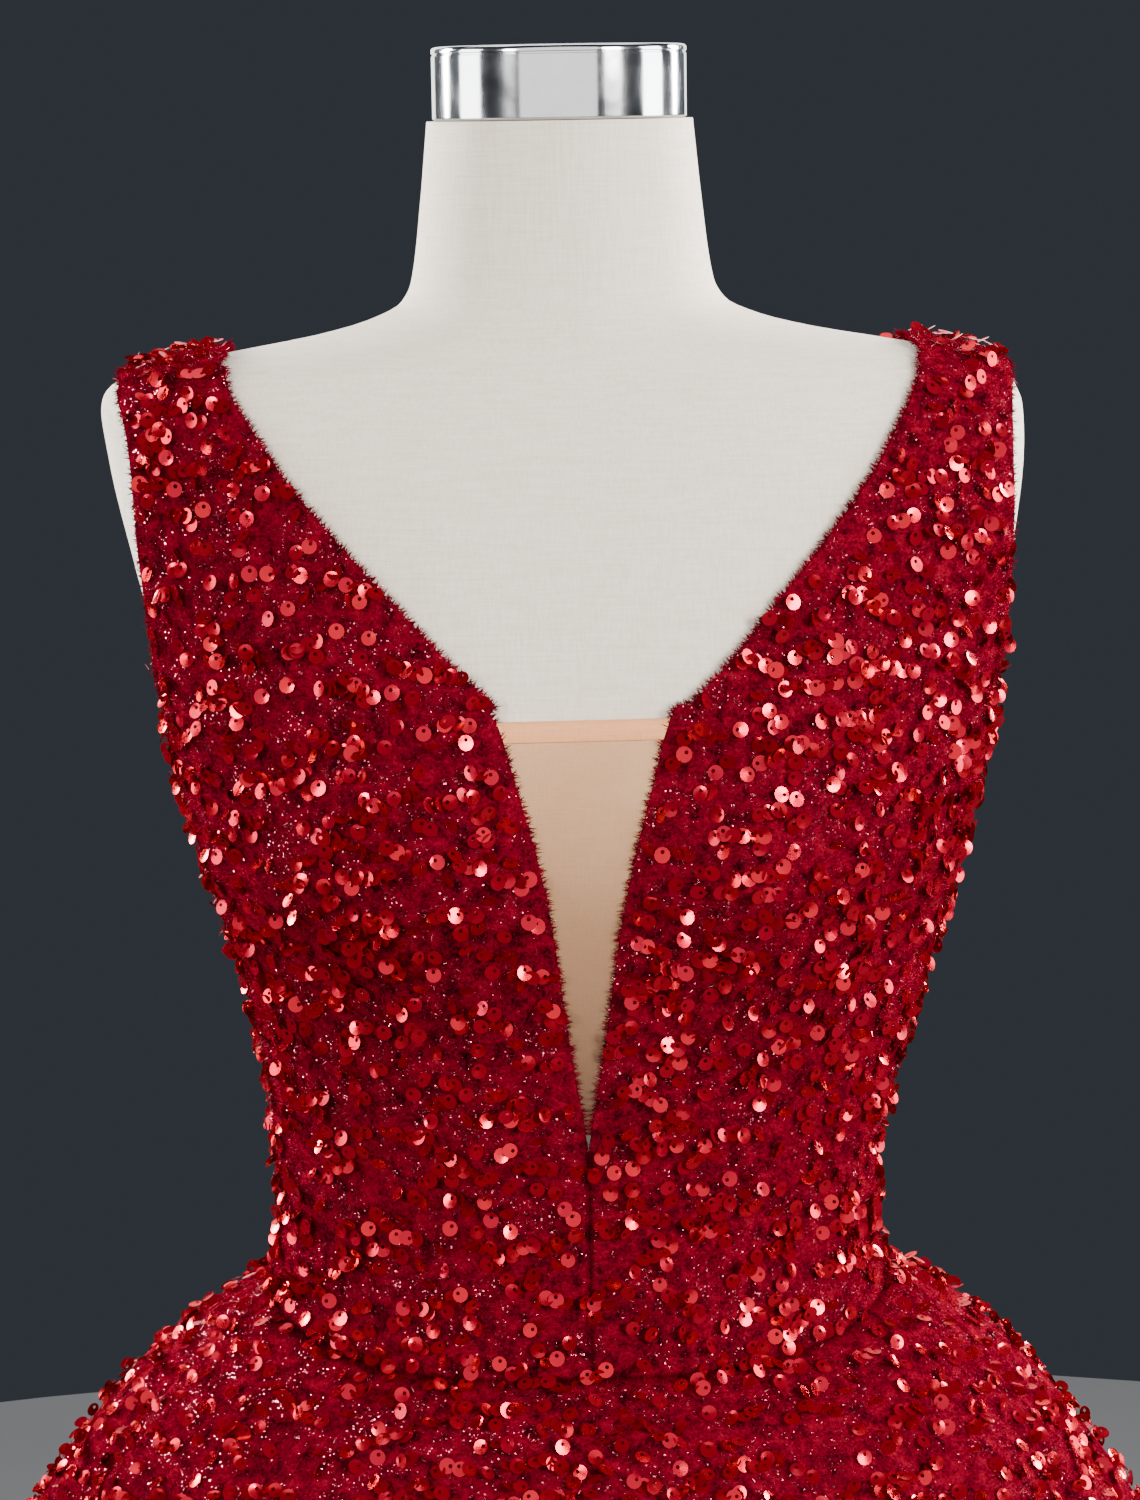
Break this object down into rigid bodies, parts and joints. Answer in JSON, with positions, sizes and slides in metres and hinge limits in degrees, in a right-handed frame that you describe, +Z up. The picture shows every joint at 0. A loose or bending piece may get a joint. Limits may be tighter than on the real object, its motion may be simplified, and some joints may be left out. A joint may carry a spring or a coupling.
{
  "type": "evening gown on dress form",
  "caption": "Sleeveless ball gown with a deep V neckline, mesh insert and full floor-length skirt, worn on a limbless dress form on a stand.",
  "frame": {"origin": "centre of the stand base's underside, on the floor", "axes": "+Z up along the pole, the gown's front faces -Y, +X is the wearer's left"},
  "size_m": [1.2373, 1.1769, 1.5343],
  "materials": {
    "sequin_velvet": "crimson velvet with sewn round sequins",
    "illusion_mesh": "fine nude stretch mesh",
    "form_linen": "off-white linen, matt",
    "chrome": "polished",
    "stand_enamel": "satin",
    "zip_enamel": "satin"
  },
  "bodies": {
    "gown": {"bodice_front_left": "sequin_velvet", "bodice_front_right": "sequin_velvet", "bodice_back_left": "sequin_velvet", "bodice_back_right": "sequin_velvet", "skirt_front": "sequin_velvet", "skirt_side_front_left": "sequin_velvet", "skirt_side_front_right": "sequin_velvet", "skirt_side_back_left": "sequin_velvet", "skirt_side_back_right": "sequin_velvet", "skirt_back_left": "sequin_velvet", "skirt_back_right": "sequin_velvet", "illusion_mesh_insert": "illusion_mesh", "insert_binding": "illusion_mesh", "zip_slider": "zip_enamel", "form_torso": "form_linen", "neck_cap": "chrome", "stand_pole": "chrome", "stand_base": "stand_enamel"},
    "pull": {"zip_pull": "zip_enamel"}
  },
  "joints": [
    {"name": "zip_pull_turn", "type": "hinge", "parent": "gown", "child": "pull", "pos_m": [0, 0.09846, 1.14543], "axis": [1, 0, 0], "range_deg": [0, 150]}
  ]
}
